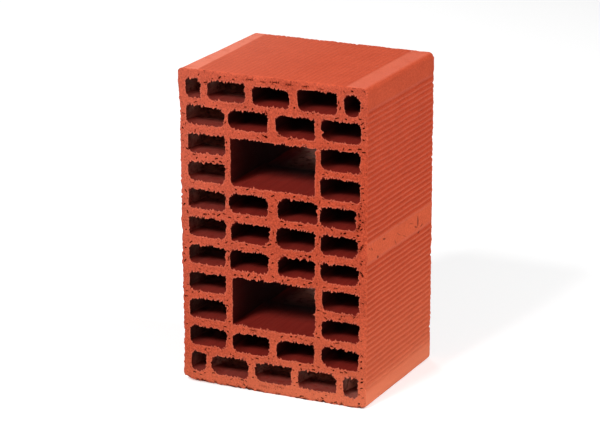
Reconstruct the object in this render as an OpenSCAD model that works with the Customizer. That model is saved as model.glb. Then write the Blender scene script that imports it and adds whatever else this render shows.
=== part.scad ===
// Perforated clay brick, standing on one end, in millimetres.
// The clay is extruded through a die and cut by wire, so the brick is one section swept along its cells.
// The section lies in X and Z. The cells run along Y, from the front bed face at -Y to the back one at +Y.

/* [Brick] */
// Length of the brick, from end to end
brick_length = 290; // [260:1:400]
// Width of the brick, from ribbed side to ribbed side
brick_width = 180; // [160:1:260]
// Height of the brick as it is laid, which is the length of its cells
brick_height = 145; // [60:1:250]
// Radius of the arrises between the ends and the sides
arris_radius = 5; // [1:0.5:8]

/* [Cells] */
// Rows of cells, from end to end
cell_rows = 11; // [9:1:13]
// Thickness of the wall at the upper end
head_wall = 7.5; // [6:0.5:12]
// Thickness of the wall at the lower end
foot_wall = 10; // [6:0.5:12]
// Thickness of the wall at each side
side_wall = 7.5; // [5:0.5:12]
// Thickness of the webs between the rows
row_web = 8; // [5:0.5:9]
// Thickness of the web on the brick's middle line
middle_web = 9; // [5:0.5:12]
// Thickness of the webs between the outer and the inner cells
column_web = 5; // [4:0.5:9]
// Thickness of the webs in the bonded rows next to the ends
bond_web = 7; // [5:0.5:9]
// Corner radius of a cell
cell_radius = 5; // [1:0.5:8]

/* [Hand holes] */
// Rows that a hand hole takes up
hand_rows = 2; // [1:1:2]
// Rows between an end of the brick and its hand hole
rows_before_hand = 2; // [1:1:2]
// Corner radius of a hand hole
hand_radius = 2; // [0.5:0.5:8]

/* [Ribbed sides] */
// Distance from one plaster groove to the next
groove_pitch = 4.9; // [4:0.1:8]
// Width of a plaster groove at the face
groove_width = 3; // [1.5:0.1:3.8]
// Depth of a plaster groove
groove_depth = 0.9; // [0.3:0.1:1.4]
// Plain band between the upper end and the first groove
head_band = 21; // [10:0.5:40]
// Plain band between the two groups of grooves
middle_band = 19.5; // [5:0.5:40]
// Plain band between the last groove and the lower end
foot_band = 15; // [10:0.5:40]

/* [Combed ends] */
// Distance from one comb line to the next
comb_pitch = 4.75; // [4:0.05:8]
// Width of a comb line at the face
comb_width = 2.8; // [1.5:0.1:3.8]
// Depth of a comb line
comb_depth = 0.4; // [0.2:0.1:0.8]
// Plain strip beside the left arris
left_strip = 13.5; // [10:0.5:40]
// Plain strip beside the right arris
right_strip = 20; // [10:0.5:40]

/* [Hidden] */
$fn = 48;

// Share of a rectangle's short side that its corner radius may take.
largest_round = 0.48;
// The clay's fired colour.
clay_colour = [0.82, 0.37, 0.25];

// Height of a cell, and the step from one row to the next.
cell_height = (brick_length - head_wall - foot_wall - (cell_rows - 1) * row_web) / cell_rows;
row_pitch = cell_height + row_web;

// Four cells fill an ordinary row between the side walls.
cell_width = (brick_width - 2 * side_wall - 2 * column_web - middle_web) / 4;
inner_x = (middle_web + cell_width) / 2;
outer_x = (brick_width - cell_width) / 2 - side_wall;

// A bonded row has three whole cells and a closer cell at each side, so its webs break joint.
bond_pitch = cell_width + bond_web;
closer_width = (brick_width - 3 * cell_width) / 2 - side_wall - 2 * bond_web;
closer_x = (brick_width - closer_width) / 2 - side_wall;

// A hand hole takes the place of both inner columns.
hand_width = 2 * cell_width + middle_web;
hand_height = hand_rows * row_pitch - row_web;

// Rows are counted from the upper end. What a row holds reads the same from the lower end.
function row_z(row) = brick_length - head_wall - cell_height / 2 - row * row_pitch;
function rows_from_end(row) = min(row, cell_rows - 1 - row);
function is_bonded(row) = rows_from_end(row) == 0;
function in_hand_hole(row) = rows_from_end(row) >= rows_before_hand
    && rows_from_end(row) < rows_before_hand + hand_rows;

// A groove is a shallow circular arc: its radius follows from its width and depth.
function arc_radius(width, depth) = (width * width / 4 + depth * depth) / (2 * depth);

// How many grooves fit in a stretch of face, and the room that they then take.
function groove_count(stretch, width, pitch) = 1 + floor((stretch - width) / pitch);
function groove_room(count, width, pitch) = width + (count - 1) * pitch;

module rounded_rectangle(width, height, radius) {
    r = min(radius, largest_round * min(width, height));
    square([width, height - 2 * r], center = true);
    square([width - 2 * r, height], center = true);
    for (x = [-1, 1], z = [-1, 1])
        translate([x * (width / 2 - r), z * (height / 2 - r)]) circle(r = r);
}

// Grooves in the face along y = 0, centred in a stretch of it that starts at x = 0.
module groove_cutters(stretch, width, depth, pitch) {
    count = groove_count(stretch, width, pitch);
    start = (stretch - groove_room(count, width, pitch) + width) / 2;
    radius = arc_radius(width, depth);
    for (i = [0 : count - 1])
        translate([start + i * pitch, radius - depth]) circle(r = radius);
}

// A pair of like cells, one at each side of the brick's middle line.
module cell_pair(x, z, width) {
    for (side = [-1, 1])
        translate([side * x, z]) rounded_rectangle(width, cell_height, cell_radius);
}

module bonded_row(z) {
    translate([0, z]) rounded_rectangle(cell_width, cell_height, cell_radius);
    cell_pair(bond_pitch, z, cell_width);
    cell_pair(closer_x, z, closer_width);
}

module cells() {
    for (row = [0 : cell_rows - 1]) {
        if (is_bonded(row)) {
            bonded_row(row_z(row));
        } else {
            cell_pair(outer_x, row_z(row), cell_width);
            if (!in_hand_hole(row)) cell_pair(inner_x, row_z(row), cell_width);
        }
    }
}

module hand_holes() {
    past_wall = rows_before_hand * row_pitch + hand_height / 2;
    for (z = [foot_wall + past_wall, brick_length - head_wall - past_wall])
        translate([0, z]) rounded_rectangle(hand_width, hand_height, hand_radius);
}

// Two groups of plaster grooves on each side, with plain bands at the ends and between the groups.
module side_grooves() {
    stretch = (brick_length - head_band - middle_band - foot_band) / 2;
    for (right = [0, 1], z = [foot_band, foot_band + stretch + middle_band])
        mirror([right, 0]) translate([-brick_width / 2, z]) rotate(90)
            groove_cutters(stretch, groove_width, groove_depth, groove_pitch);
}

// Shallow comb lines on each end, between the plain strips.
module end_combs() {
    stretch = brick_width - left_strip - right_strip;
    for (upper = [0, 1])
        translate([left_strip - brick_width / 2, upper * brick_length])
            mirror([0, 1 - upper])
                groove_cutters(stretch, comb_width, comb_depth, comb_pitch);
}

module section() {
    difference() {
        translate([0, brick_length / 2]) rounded_rectangle(brick_width, brick_length, arris_radius);
        cells();
        hand_holes();
        side_grooves();
        end_combs();
    }
}

module brick() {
    color(clay_colour)
        rotate([90, 0, 0]) linear_extrude(height = brick_height, center = true) section();
}

brick();
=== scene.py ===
# %% [markdown]
# # A perforated clay brick
# A wet column of red clay is pushed through a die, cut to length by a wire and fired. The die draws every
# cell, rib and comb line as one straight section, and the packed CAD model already holds that section.
# What makes the brick look real comes after the die: the wire tears the rims of the cells, pulls grit out
# of the cut faces and blunts the edges. This lesson traces the section from the CAD model and then adds
# those marks as real geometry, so that they show from every side and in any light.

# %% Load the packed brick
import math
from types import SimpleNamespace

import bmesh
import bpy
import numpy as np
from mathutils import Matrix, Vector, noise
from mathutils.geometry import delaunay_2d_cdt
from mathutils.kdtree import KDTree


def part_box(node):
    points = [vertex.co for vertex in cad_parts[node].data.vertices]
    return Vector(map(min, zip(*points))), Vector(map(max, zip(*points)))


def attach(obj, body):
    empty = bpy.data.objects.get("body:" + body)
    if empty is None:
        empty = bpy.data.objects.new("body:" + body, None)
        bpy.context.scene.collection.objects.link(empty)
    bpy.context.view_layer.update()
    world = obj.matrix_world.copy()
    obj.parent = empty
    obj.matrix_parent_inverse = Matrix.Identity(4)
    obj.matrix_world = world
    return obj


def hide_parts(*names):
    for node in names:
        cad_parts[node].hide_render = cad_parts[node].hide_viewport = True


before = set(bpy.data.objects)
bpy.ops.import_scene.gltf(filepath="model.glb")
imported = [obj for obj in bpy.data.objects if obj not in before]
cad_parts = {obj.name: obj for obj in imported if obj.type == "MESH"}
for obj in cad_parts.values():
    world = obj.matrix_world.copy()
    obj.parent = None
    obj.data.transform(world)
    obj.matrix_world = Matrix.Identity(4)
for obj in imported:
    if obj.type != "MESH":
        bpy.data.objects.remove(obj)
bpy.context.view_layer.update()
MM = 0.001  # the lesson measures in millimetres and hands metres to Blender
low, high = (np.array(corner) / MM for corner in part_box("brick"))
front_y, back_y = low[1], high[1]
length = high[2] - low[2]
print("brick", (high - low).round(1), "mm, front face at y =", round(front_y, 1))

# %% [markdown]
# ## The section
# Every surface of the brick starts from the outlines of its cut face: one outer outline and forty holes.
# They could be typed in again, but then the looks and the CAD model could drift apart. Here the outlines
# are read from the CAD node: an edge that only one triangle of the front face uses is on its boundary.

# %% Trace the outlines of the front face
FRONT_DEPTH = 0.01  # a triangle belongs to the front when its corners are at most this far behind it


def trace_outlines(node):
    """Closed outlines of the node's front face, as arrays of x, z in mm."""
    mesh = node.data
    points = np.array([vertex.co for vertex in mesh.vertices]) / MM
    _, first, same = np.unique(points, axis=0, return_index=True, return_inverse=True)
    same = same.ravel()
    on_front = points[:, 1] < front_y + FRONT_DEPTH
    edges = set()
    for face in mesh.polygons:
        if on_front[list(face.vertices)].all():
            ring = [int(same[v]) for v in face.vertices]
            edges.update(zip(ring, ring[1:] + ring[:1]))
    following = dict(sorted((a, b) for a, b in edges if (b, a) not in edges))
    outlines = []
    while following:
        start, point = following.popitem()
        chain = [start]
        while point != start:
            chain.append(point)
            point = following.pop(point)
        outlines.append(points[first[chain]][:, [0, 2]])
    return outlines


def box_of(outline):
    """Left, lower, right and upper limit of an outline."""
    return np.concatenate([outline.min(0), outline.max(0)])


outlines = sorted(trace_outlines(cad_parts["brick"]), key=lambda o: np.ptp(o[:, 1]))
die_outline = outlines.pop()
hole_boxes = np.array([box_of(outline) for outline in outlines])
print(len(die_outline), "points on the outer outline,", len(hole_boxes), "holes")

# %% [markdown]
# ## Cells and hand holes
# A brick of this kind has rows of wide cells and two larger holes for the hand. Single cells are to be
# shaped later, so each hole needs a name. The order in which the mesh lists them says nothing, so they
# are sorted into rows from the top and columns from the left, as a reader would count them.

# %% Sort the holes into rows
HAND_HOLE_TIMES = 1.5  # a hole taller than this many cells is a hand hole
SAME_ROW = 1.0  # mm within which a cell's middle has to lie at the level of its row
hole_heights = hole_boxes[:, 3] - hole_boxes[:, 1]
cell_height = np.median(hole_heights)
is_hand_hole = hole_heights > HAND_HOLE_TIMES * cell_height
middle_z = (hole_boxes[:, 1] + hole_boxes[:, 3]) / 2
row_levels = sorted({round(float(z)) for z in middle_z[~is_hand_hole]}, reverse=True)

holes = {}
for number, box in enumerate(sorted(hole_boxes[is_hand_hole].tolist(), key=lambda b: -b[1]), 1):
    holes["hand", number] = np.array(box)
for row, level in enumerate(row_levels, 1):
    in_row = hole_boxes[~is_hand_hole & (abs(middle_z - level) < SAME_ROW)]
    for column, box in enumerate(in_row[in_row[:, 0].argsort()], 1):
        holes[row, column] = box
print(len(row_levels), "rows and", int(is_hand_hole.sum()), "hand holes, cells",
      cell_height.round(1), "mm high")

# %% [markdown]
# The die's cores bend under the wet clay, so a cell sits or measures a little differently from its
# neighbours. Random shifts would look alike from afar, but then no cell would be the one on the real
# brick. So what stands out there is noted cell by cell.

# %% Note the cores that bent
# How far the left, lower, right and upper limits of a cell lie from where the die drew them, in mm.
bent = {
    (1, 1): (-2, -1.5, -0.5, -1.5), (1, 2): (-1.5, -1.5, -1, -1.5), (1, 3): (-1.5, -1.5, -2, -2),
    (1, 4): (-1.5, -1.5, -0.5, 0), (1, 5): (-1, -1.5, 0.5, -0.5), (2, 1): (-1.5, 0, -1, 0),
    (2, 2): (-2, 0, 0, 0), (2, 3): (-2, -1, -0.5, 0), (2, 4): (0, 0, 1.5, 1), (3, 2): (0, -0.5, 1, 1),
    (4, 2): (-0.5, -1, 1, 0), (5, 2): (-2, 0.5, 0, 1), (5, 3): (0, 0, 2, 2), (5, 4): (-1, -1, -3, 0),
    (6, 2): (0, 0, 1.5, 0), (6, 3): (-1.5, -0.5, 0, 1), (6, 4): (0, -0.5, -0.5, 0),
    (7, 2): (-1, -1, 0.5, 0), (8, 2): (1.5, -1, 1, 0.5), (9, 1): (0, 0, 0, 1), (9, 2): (1, -1.5, 1, -1),
    (10, 2): (1, -1.5, 1, -0.5), (10, 3): (-1.5, -1.5, -1, -1), (10, 4): (1, -1.5, 0, -1),
    (11, 1): (1, 0.5, 2.5, 1), (11, 2): (0, 0, 1, 0.5), (11, 4): (-1, 0, 0, 0),
    (11, 5): (-1, -1.5, 0, -0.5), ("hand", 2): (1, -1.5, 0, 0.5),
}
for name, change in bent.items():
    holes[name] = holes[name] + change
print(len(bent), "bent cores, by up to", np.abs(list(bent.values())).max(), "mm")

# %% [markdown]
# The corners of the cores wear round, and no two alike. One radius for all would make the cells look
# punched, so each corner has a radius of its own.

# %% Round the corners of the cores
# Corner radii in mm: upper left, upper right, lower right, lower left.
worn_corners = {
    (1, 1): (3.5, 6, 2, 6), (1, 2): (6, 3, 6, 6), (1, 3): (5, 7, 4, 5), (1, 4): (3, 3, 5, 6),
    (1, 5): (5, 5, 7, 7), (2, 1): (4, 8, 7, 6), (2, 2): (7, 4, 3, 7), (2, 3): (6, 2, 2, 8),
    (2, 4): (5, 4, 5, 8), (3, 1): (2.5, 2.5, 4, 4), (3, 2): (4, 4, 3, 6), (4, 1): (5, 3, 5, 6),
    (4, 2): (4, 4, 5, 6), (5, 1): (3, 4, 5, 3), (5, 2): (8, 5, 5, 8), (5, 3): (8, 5, 4, 5),
    (5, 4): (6, 4, 4, 7), (6, 1): (3, 3, 6, 4), (6, 2): (7, 3, 7, 3), (6, 3): (6, 4, 6, 8),
    (6, 4): (5, 6, 8, 5), (7, 1): (5, 4, 3, 6), (7, 2): (4, 4, 5, 2), (7, 3): (8, 3, 7, 4),
    (7, 4): (4, 6, 6, 7), (8, 1): (3, 3, 6, 5), (8, 2): (2, 3, 5, 6), (9, 1): (5, 6, 3, 4),
    (9, 2): (6, 4, 5, 6), (10, 1): (4, 5, 4, 5), (10, 2): (5, 3, 7, 7), (10, 3): (7, 3, 3, 4),
    (10, 4): (5, 4, 3, 8), (11, 1): (3, 3, 6, 5), (11, 2): (8.5, 8, 5, 8.5), (11, 3): (5, 3, 5, 8),
    (11, 4): (6, 7, 3, 6), (11, 5): (5, 2, 4, 6), ("hand", 1): (2, 1, 1.5, 3.5),
    ("hand", 2): (1.5, 1.5, 1, 2),
}
radii = sorted(radius for cell in worn_corners.values() for radius in cell)
print("corner radii from", radii[0], "to", radii[-1], "mm")

# %% [markdown]
# ## Outlines with even steps
# A torn rim needs a point about every half millimetre, and its points have to be evenly spaced, or the
# tears would bunch up in the corners. A polyline of arcs and straights is therefore measured along its
# length and cut into equal steps. The outward normal of each point shows which way is clay.

# %% Helpers for outlines
ARC_POINTS = 12


def even_steps(path, count):
    """That many points, evenly spaced along a closed path."""
    closed = np.vstack([path, path[:1]])
    walked = np.concatenate([[0], np.cumsum(np.hypot(*np.diff(closed, axis=0).T))])
    at = np.linspace(0, walked[-1], count, endpoint=False)
    return np.stack([np.interp(at, walked, closed[:, i]) for i in (0, 1)], 1)


def left_normals(path):
    """Unit normals on the left of a closed path."""
    along = np.roll(path, -1, 0) - np.roll(path, 1, 0)
    normals = np.stack([-along[:, 1], along[:, 0]], 1)
    return normals / np.hypot(*normals.T)[:, None]


def hole_outline(box, radii, step):
    """A rounded rectangle, walked clockwise, with its normals into the clay. The count divides by four."""
    left, lower, right, upper = box
    bends = [(left, upper, 180), (right, upper, 90), (right, lower, 0), (left, lower, 270)]
    path = []
    for (x, z, start), radius in zip(bends, radii):
        turn = np.radians(start - np.linspace(0, 90, ARC_POINTS))
        inward_x = 1 if x == left else -1
        inward_z = 1 if z == lower else -1
        middle = np.array([x + inward_x * radius, z + inward_z * radius])
        path.append(middle + radius * np.stack([np.cos(turn), np.sin(turn)], 1))
    path = np.vstack(path)
    around = np.hypot(*(np.roll(path, -1, 0) - path).T).sum()
    path = even_steps(path, 4 * round(around / step / 4))
    return path, left_normals(path)


sample, _ = hole_outline(holes[1, 1], worn_corners[1, 1], step=0.5)
print("a closer cell takes", len(sample), "points, from", sample.min(0).round(1),
      "to", sample.max(0).round(1))

# %% [markdown]
# ## One mesh for one piece of clay
# The brick is a single fired piece, so it becomes a single closed mesh. It could be cut from a solid
# block with Boolean modifiers, but forty torn holes would leave slivers and no control over the points.
# Here the mesh is gathered block by block: each block of points is added once and gets back its numbers,
# and faces are then made between numbered rings. Beside its place, each point keeps a few marks that the
# clay material reads later.

# %% Helpers that gather the mesh
clay_points, clay_faces = [], []
clay_marks = {"in_cell": [], "deep": [], "hazy": [], "smooth_strip": [], "groove": [], "crest": [],
              "pit": [], "rim": []}


def add_points(xyz, **marks):
    """Adds points in mm with their marks, which are 0 where none is given, and returns their numbers."""
    start = sum(len(block) for block in clay_points)
    clay_points.append(np.asarray(xyz, float))
    for name, blocks in clay_marks.items():
        blocks.append(np.broadcast_to(np.asarray(marks.get(name, 0.0), float), len(xyz)))
    return np.arange(start, start + len(xyz))


def join_rings(ring, deeper):
    """Faces between two closed rings. The deeper ring may have half as many points as the other."""
    after = np.roll(deeper, -1)
    if len(ring) == len(deeper):
        clay_faces.extend(np.stack([ring, np.roll(ring, -1), after, deeper], 1).tolist())
        return
    start, middle, end = ring[::2], ring[1::2], np.roll(ring[::2], -1)
    for triangle in ((start, middle, deeper), (middle, end, after), (middle, after, deeper)):
        clay_faces.extend(np.stack(triangle, 1).tolist())


def wobble(x, y, z, size, seed):
    """Smooth noise from about -1 to 1, with lumps of that size in mm."""
    spots = np.stack(np.broadcast_arrays(x, y, z), -1).reshape(-1, 3) / size + seed
    return np.array([noise.noise(Vector(spot)) for spot in spots]) * 2


sample = wobble(np.arange(200), 0, 0, 7, 1)
print("noise runs from", sample.min().round(2), "to", sample.max().round(2))

# %% [markdown]
# ## Torn rims
# The wire crosses the brick from end to end. Where it leaves or meets a web it drags clay with it, so the
# upper and lower rims of the cells end in small teeth and nicks, while the side rims only wander. A
# texture could draw the teeth, but then the outline of each hole would stay a clean curve. Here every rim
# point slides along its own normal: into the hole for a tooth, into the clay for a nick.

# %% Tear the rims
RIM_STEP = 0.5  # mm from one point of a rim to the next
SIDE_SHARE = 0.45  # how much of the tearing the side rims get
SHOULDER = 0.5  # how much of a tear the points beside it take
LEAST_TEAR = 0.35  # the smallest tear, as a share of the largest
RIM_WANDER, RIM_LUMPS, RIM_GRAIN = 0.4, 9.0, 0.13  # slow wander, the size of its lumps, and fine grain
# Share of rim points with a tooth, longest tooth, share with a nick, deepest nick.
upper_rim = (0.10, 1.2, 0.17, 2.2)
lower_rim = (0.15, 1.9, 0.08, 1.3)
# Single pulls at the front: x, z, reach, and how far into the clay. A burr points into the hole.
front_pulls = [
    (46, 247, 2.0, -4.5), (-49, 155.5, 2.0, 2.2), (-46.5, 151, 1.6, 2.6), (-18, 24, 1.4, -2.2),
    (-48, 251, 2.5, 1.5), (42, 176, 2.4, -1.8), (42.5, 180, 1.6, 1.5), (30.5, 129.5, 2.2, 2.8),
    (82, 126, 1.6, 1.2), (81.5, 204, 1.8, 1.8), (41, 81, 1.4, -2.0), (40.5, 63, 1.8, -1.8),
    (25.5, 11.5, 2.0, 1.5), (79.5, 174, 2.0, -1.6), (68, 33.5, 1.6, 1.4), (41, 283.5, 1.8, 1.4),
    (48.5, 138.5, 1.8, -1.8), (37.5, 112.3, 1.6, 1.5), (72.5, 113, 1.4, 1.3), (57.5, 181, 0.9, -2.4),
]


def torn_rim(path, normals, y, seed):
    """How far each rim point lies into the clay, in mm; teeth are negative."""
    draw = np.random.default_rng(seed)
    count = len(path)
    is_upper = normals[:, 1] > 0
    torn = np.zeros(count)
    for chosen, (tooth_share, tooth, nick_share, nick) in ((is_upper, upper_rim), (~is_upper, lower_rim)):
        chance = draw.random(count)
        size = draw.uniform(LEAST_TEAR, 1, count)
        change = nick * size * (chance < nick_share) - tooth * size * (chance > 1 - tooth_share)
        change = np.clip(change + SHOULDER * (np.roll(change, 1) + np.roll(change, -1)), -tooth, nick)
        torn = np.where(chosen, change, torn)
    torn = torn * (SIDE_SHARE + (1 - SIDE_SHARE) * abs(normals[:, 1]))
    for x, z, reach, pull in front_pulls if y == front_y else ():
        torn += pull * np.clip(1 - np.hypot(*(path - (x, z)).T) / reach, 0, 1)
    wander = RIM_WANDER * wobble(path[:, 0], y, path[:, 1], RIM_LUMPS, seed)
    return torn + wander + draw.normal(0, RIM_GRAIN, count)


path, normals = hole_outline(holes[6, 2], worn_corners[6, 2], RIM_STEP)
sample = torn_rim(path, normals, front_y, 1)
print("a torn rim: teeth to", (-sample.min()).round(1), "mm, nicks to", sample.max().round(1), "mm")

# %% [markdown]
# ## Cell walls
# Inside a cell the clay only slid over a steel core, so its walls are plain, and what differs is their
# tone. Some cells, most of them in the left column and the lowest row, get a pale haze on their walls and
# floors; in the lowest row it is painted light that comes in through the back opening. In the hand holes
# a patch of painted light from the back opening lies across the floor near the back. A painted image could
# show it, but it would have to be fitted to forty tubes. A mark on each point of a wall is simpler: the
# material decides later what the hazy clay looks like.

# %% Say where the pale haze lies
# How hazy the cells of the lowest row are, by column, and those of the left column, by row.
lowest_row_haze = (1, 3, 4, 5), (0.9, 1.0, 1.4, 3.5)
left_column_haze = (1, 4, 7, 10), (1.5, 1.1, 0.5, 0.25)
single_cell_haze = {(1, 2): 1.0}
WALL_HAZE, LEFT_FLOOR_HAZE, LOWEST_FLOOR_HAZE = 0.32, 0.75, 1.0
wall_to_floor = (0.2, 0.7)  # how steep a normal is where the haze lies as on a wall, and as on a floor
HAZE_END_DEPTH = 112.0  # the hazy cells have no haze behind this
# In the hand holes the haze is painted light that falls in through the back opening.
# How strong it is on the floor at three depths, the border's slant, and its soft edge in x.
hand_light_depths, hand_light_levels = (70, 112, 140), (0, 1.0, 0.25)
HAND_LIGHT_SLANT, hand_light_edge = 0.47, (21, 34)
FLOOR_NORMAL = -0.5  # a floor's normal, which points into the clay, is steeper downwards than this


def cell_haze(name):
    """How much pale haze a cell gets: none in most, and more than 1 is a lot."""
    row, column = name
    if row == len(row_levels):
        return np.interp(column, *lowest_row_haze)
    if column == 1:
        return np.interp(row, *left_column_haze)
    return single_cell_haze.get(name, 0.0)


def haze_on(name, spots, normals, depth):
    """How hazy the points of a ring are. From 1 on, the haze can hide the clay."""
    # In a hand hole the border of the painted light slants like the shadow of the back opening's left
    # side.
    if name[0] == "hand":
        across = np.interp(spots[:, 0] + HAND_LIGHT_SLANT * depth, hand_light_edge, (0, 1))
        on_floor = normals[:, 1] < FLOOR_NORMAL
        return across * np.interp(depth, hand_light_depths, hand_light_levels) * on_floor
    floor_haze = LOWEST_FLOOR_HAZE if name[0] == len(row_levels) else LEFT_FLOOR_HAZE
    haze = np.interp(abs(normals[:, 1]), wall_to_floor, (WALL_HAZE, floor_haze))
    return haze * cell_haze(name) * (depth < HAZE_END_DEPTH)


hazy_cells = [name for name in holes if name[0] != "hand" and cell_haze(name) > 0]
print(len(hazy_cells), "dusty cells, the most dust in", max(hazy_cells, key=cell_haze))

# %% [markdown]
# The middle of a cell gets painted shade, so its clay is darkest there, and the upright walls get more of
# it than the floor. Light that bounces about in the cells would keep them too bright, so this darkness
# isn't left to the lamps: it is a second mark on the points.

# %% Say how dark the walls are
# How far behind a cut face a cell, and a hand hole, begins to darken, and where it is darkest.
cell_darkens, hand_darkens = (8, 45), (35, 70)
hand_wall_darkens = (-45, 20)  # the upright walls of a hand hole get painted shade at its mouth already
upright_to_level = (0.3, 0.7)  # how steep a normal is at an upright wall, and at a floor or a roof
MUCH_HAZE = 0.6  # with more haze than this, the foot of a cell's walls is as bright as its floor
HAZY_WALL_DARKENS = 2.9  # up such a wall the painted shade grows: 1 mm up counts as this many mm deeper
LEFT_SHADE, LEFT_SHADE_WIDTH = 20.0, 12.0  # painted shadow of a left wall: the floor beside it looks up to this much deeper
LIT_MOUTH = 4.0  # mm behind a cut face that have no such shade


def wall_marks(name, spots, normals, depth):
    """Marks for the points of a ring: how deep in the brick they look, from 0 to 1, as painted shade, and
    how hazy.
    """
    left, lower = holes[name][:2]
    upright = np.interp(abs(normals[:, 1]), upright_to_level, (1, 0))
    behind = np.full(len(spots), min(depth, back_y - front_y - depth))
    if name[0] == "hand":
        deep = np.interp(behind, hand_darkens, (0, 1))
        deep = deep + (np.interp(behind, hand_wall_darkens, (0, 1)) - deep) * upright
    elif cell_haze(name) > MUCH_HAZE:
        above_floor = np.clip(spots[:, 1] - lower, 0, None)
        deep = np.interp(behind + HAZY_WALL_DARKENS * above_floor * upright, cell_darkens, (0, 1))
    else:
        # Painted shadow that a left wall casts on the floor of a cell.
        beside_wall = np.clip(1 - (spots[:, 0] - left) / LEFT_SHADE_WIDTH, 0, 1)
        shade = LEFT_SHADE * beside_wall * (behind > LIT_MOUTH)
        deep = np.maximum(np.interp(behind + shade, cell_darkens, (0, 1)), upright)
    return {"deep": deep, "hazy": haze_on(name, spots, normals, depth)}


sample = wall_marks((6, 2), path, normals, cell_darkens[0])["deep"]
print("deep marks at a cell's mouth run from", sample.min().round(2), "to", sample.max().round(2))

# %% [markdown]
# Rings of points run from the front rim of a hole to its back rim. They are close together and full of
# points at the two mouths, where the tears fade out, and few in the middle, where nothing happens. A tube
# of even rings would spend most of its faces on plain walls.

# %% Rings at the mouth of a cell
mouth_depths = (0.0, 0.8, 2.4, 8.0)  # mm behind the cut face
mouth_skips = (1, 2, 4, 4)  # every point at the rim, every second and every fourth behind it
tear_left = (1.0, 0.45, 0.1, 0.0)  # what is left of a tear at each depth
LEAN = 0.3  # how far a tooth leans out of the cut face, as a share of its length


def ring_at(spots, y, **marks):
    """Adds a ring of points at one depth."""
    xyz = np.stack([spots[:, 0], np.broadcast_to(y, len(spots)), spots[:, 1]], 1)
    return add_points(xyz, **marks)


def mouth_rings(name, path, normals, face_y, inwards, seed):
    """Rings of point numbers from one rim into the cell. The clay is dark right behind the rim."""
    tear = torn_rim(path, normals, face_y, seed)
    rings = []
    for depth, skip, left in zip(mouth_depths, mouth_skips, tear_left):
        spots = (path + normals * (tear * left)[:, None])[::skip]
        lean = LEAN * tear[::skip] if depth == 0 else 0
        y = face_y + inwards * (depth + lean)
        inside = float(depth > 0)
        marks = wall_marks(name, spots, normals[::skip], face_y + inwards * depth - front_y)
        rings.append(ring_at(spots, y, in_cell=inside, rim=1 - inside, **marks))
    return rings


print("a mouth takes", len(mouth_depths), "rings, down to", mouth_depths[-1], "mm")

# %% Build the walls of every hole
middle_depths = (30.0, 70.0, 112.0)  # mm behind the front face
WALL_DRIFT, DRIFT_LUMPS = 0.25, 25.0  # mm that a wall wanders, and the size of its lumps
FRONT_RIM_SEED, BACK_RIM_SEED = 100, 300

front_rims, back_rims = [], []
for number, (name, box) in enumerate(holes.items()):
    path, normals = hole_outline(box, worn_corners[name], RIM_STEP)
    tube = mouth_rings(name, path, normals, front_y, 1, FRONT_RIM_SEED + number)
    coarse, coarse_normals = path[::mouth_skips[-1]], normals[::mouth_skips[-1]]
    for depth in middle_depths:
        drift = WALL_DRIFT * wobble(coarse[:, 0], depth, coarse[:, 1], DRIFT_LUMPS, number)
        spots = coarse + coarse_normals * drift[:, None]
        marks = wall_marks(name, spots, coarse_normals, depth)
        tube.append(ring_at(spots, front_y + depth, in_cell=1.0, **marks))
    tube += mouth_rings(name, path, normals, back_y, -1, BACK_RIM_SEED + number)[::-1]
    for ring, next_ring in zip(tube, tube[1:]):
        join_rings(*sorted((ring, next_ring), key=len, reverse=True))
    front_rims.append(tube[0])
    back_rims.append(tube[-1])
print("hole walls:", sum(map(len, clay_points)), "points,", len(clay_faces), "faces")

# %% [markdown]
# ## The outside
# The die pressed plaster ribs into the two sides and a finer comb into the two ends, and the whole
# outside is one strip wound round the brick. The CAD outline already has every groove, so the strip is
# that outline, repeated from the front to the back. Two things keep it from looking machined: the ribs
# wander a little along the brick, as wet clay does, and the edges of the cut faces are blunt and chipped.

# %% Prepare the outer outline
LEAST_STEP, LONGEST_STEP = 0.62, 1.8  # mm from one point of the outline to the next
SOFTEN = 0.08  # share that each point takes from each neighbour, which rounds the ribs' crests
FACING_PASSES = 60  # smoothed this often, the outline has lost its grooves, and its normals show the faces
FACING = 0.7  # a point belongs to the face that takes more than this of its normal


def thinned(path, least):
    """The same path without the points that follow closer than that on the last one kept."""
    kept = [path[0]]
    for point in path[1:]:
        if math.dist(point, kept[-1]) >= least:
            kept.append(point)
    return np.array(kept)


def split_long_steps(path, longest):
    """The same path, with extra points where its steps are too long."""
    pieces = []
    for start, end in zip(path, np.roll(path, -1, 0)):
        parts = max(1, math.ceil(np.hypot(*(end - start)) / longest))
        pieces.append(start + (end - start) * np.arange(parts)[:, None] / parts)
    return np.vstack(pieces)


def smoothed(values, times=1, share=0.25):
    """A closed run of values, each drawn towards its neighbours by that share, that many times."""
    for _ in range(times):
        values = values * (1 - 2 * share) + share * (np.roll(values, 1, 0) + np.roll(values, -1, 0))
    return values


outline = smoothed(split_long_steps(thinned(die_outline, LEAST_STEP), LONGEST_STEP), share=SOFTEN)
outward = -left_normals(smoothed(outline, FACING_PASSES))
on_side = abs(outward[:, 0]) > FACING
on_top = outward[:, 1] > FACING
print(len(outline), "points round the outside,", int(on_side.sum()), "of them on the ribbed sides")

# %% [markdown]
# The blunt edge is a quarter round whose radius changes along the edge. A Bevel modifier would give it
# one radius all round. The upper edges are the softest, because the fresh brick was handled there, and
# single chips are added by a seeded draw. A chip that spans several points is made by smoothing the drawn
# values along the outline.

# %% Blunt the cut edges
TOP_RADIUS, OTHER_RADIUS = 1.5, 0.8  # mm
RADIUS_CHANGE, RADIUS_LUMPS = 0.35, 22.0  # how much the radius changes, and over what distance
radius_limits = (0.25, 2.6)
CHIP_SHARE, chip_sizes = 0.05, (1.0, 5.0)
FRONT_EDGE_SEED, BACK_EDGE_SEED = 21, 22


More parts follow.
